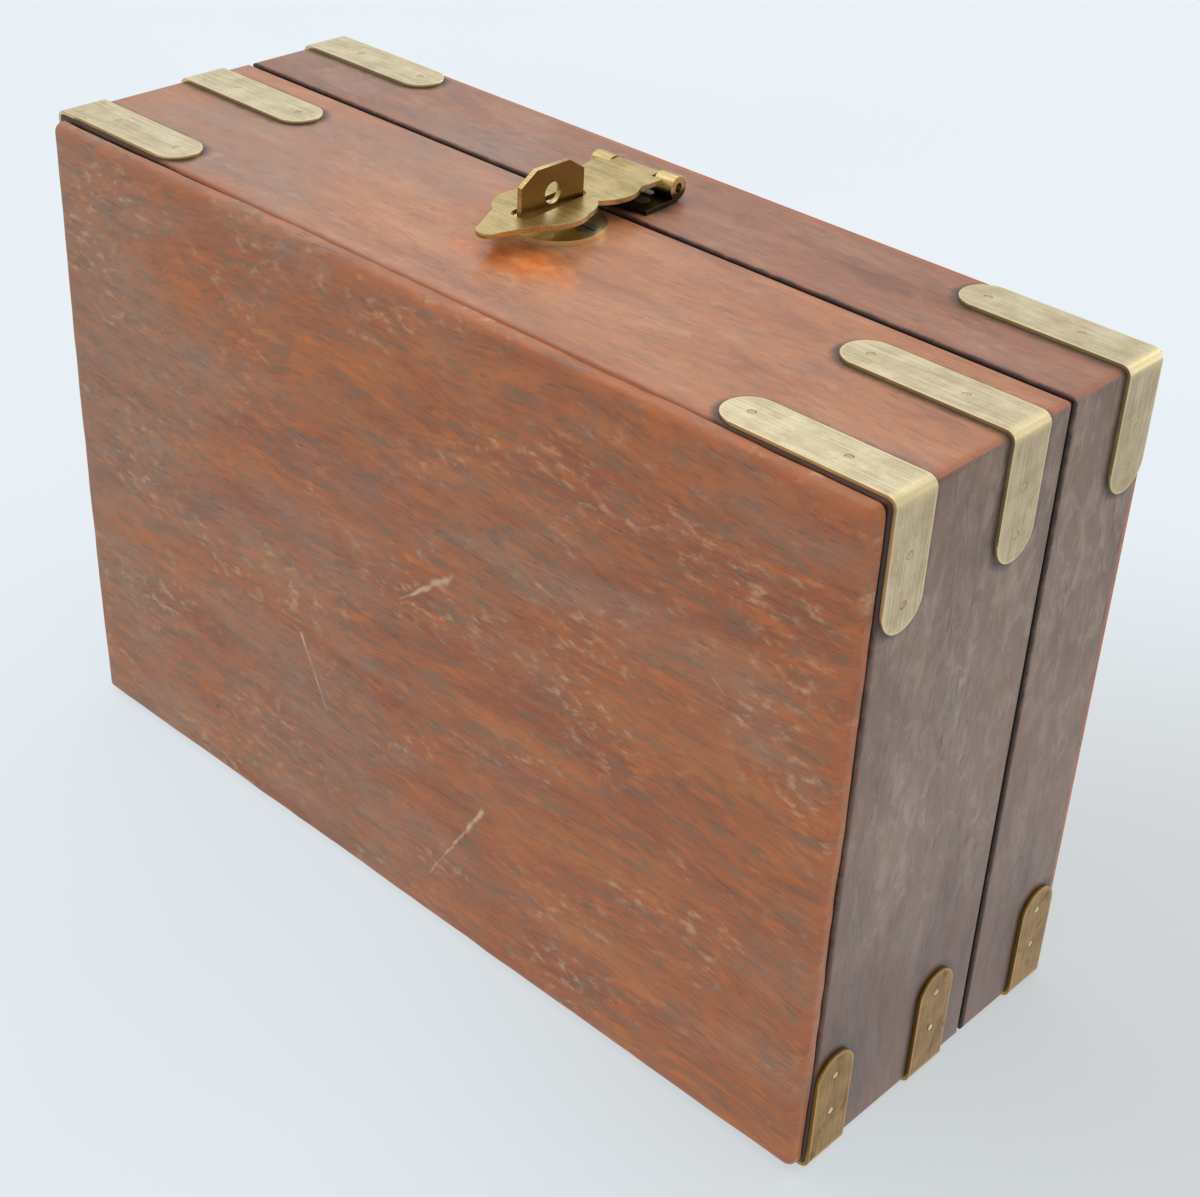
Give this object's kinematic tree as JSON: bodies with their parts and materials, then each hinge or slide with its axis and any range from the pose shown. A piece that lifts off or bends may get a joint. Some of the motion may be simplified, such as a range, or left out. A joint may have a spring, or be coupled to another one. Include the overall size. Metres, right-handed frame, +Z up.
{
  "type": "writing slope",
  "caption": "Small hardwood writing box with brass corner straps, a hasp and staple, a back-hinged lid and a sloping baize-lined board over its paper space.",
  "frame": {"origin": "middle of the case, on the underside of the base board", "axes": "+Z up with the lid on top, -Y to the front with the hasp, +X along the length to the right of someone facing the hasp"},
  "size_m": [0.2558, 0.1866, 0.097],
  "materials": {
    "case_wood": "worn oiled hardwood, satin",
    "inner_wood": "plain oiled hardwood",
    "brass": "aged brass, brushed",
    "screw_steel": "dull plated steel",
    "baize": "green wool baize"
  },
  "bodies": {
    "base": {"base_board": "case_wood", "base_front_wall": "case_wood", "base_back_wall": "case_wood", "base_left_end": "case_wood", "base_right_end": "case_wood", "lower_strap_front_left": "brass", "lower_strap_front_right": "brass", "lower_strap_back_left": "brass", "lower_strap_back_right": "brass", "upper_strap_front_left": "brass", "upper_strap_front_right": "brass", "upper_strap_back_left": "brass", "upper_strap_back_right": "brass", "base_strap_pins": "brass", "left_hinge_base_leaf": "brass", "left_hinge_pin": "brass", "right_hinge_base_leaf": "brass", "right_hinge_pin": "brass", "base_hinge_screws": "brass", "staple": "brass", "staple_screws": "screw_steel", "divider": "inner_wood", "left_partition": "inner_wood", "right_partition": "inner_wood", "tray_cleats": "inner_wood", "front_ledge": "inner_wood", "left_ledge": "inner_wood", "right_ledge": "inner_wood", "board_hinge_fixed_leaves": "brass", "board_hinge_pins": "brass", "board_hinge_screws": "brass"},
    "lid": {"lid_board": "case_wood", "lid_front_wall": "case_wood", "lid_back_wall": "case_wood", "lid_left_end": "case_wood", "lid_right_end": "case_wood", "lid_strap_front_left": "brass", "lid_strap_front_right": "brass", "lid_strap_back_left": "brass", "lid_strap_back_right": "brass", "lid_strap_pins": "brass", "left_hinge_lid_leaf": "brass", "right_hinge_lid_leaf": "brass", "lid_hinge_screws": "brass", "hasp_leaf": "brass", "hasp_pin": "brass", "hasp_screws": "screw_steel"},
    "hasp": {"hasp_plate": "brass"},
    "pen_tray": {"pen_tray": "inner_wood"},
    "writing_board": {"writing_board": "inner_wood", "baize": "baize", "board_hinge_moving_leaves": "brass", "board_leaf_screws": "brass"}
  },
  "joints": [
    {"name": "lid_hinge", "type": "hinge", "parent": "base", "child": "lid", "pos_m": [0, 0.08535, 0.06265], "axis": [-1, 0, 0], "range_deg": [0, 180]},
    {"name": "hasp_hinge", "type": "hinge", "parent": "lid", "child": "hasp", "pos_m": [-0.0023, -0.08755, 0.077], "axis": [-0.9962, 0, -0.0872], "range_deg": [0, 170]},
    {"name": "board_hinge", "type": "hinge", "parent": "base", "child": "writing_board", "pos_m": [0, 0.03195, 0.0535], "axis": [-1, 0, 0], "range_deg": [0, 32]},
    {"name": "tray_lift", "type": "slide", "parent": "base", "child": "pen_tray", "axis": [0, 0, 1], "range_m": [0, 0.036]}
  ]
}
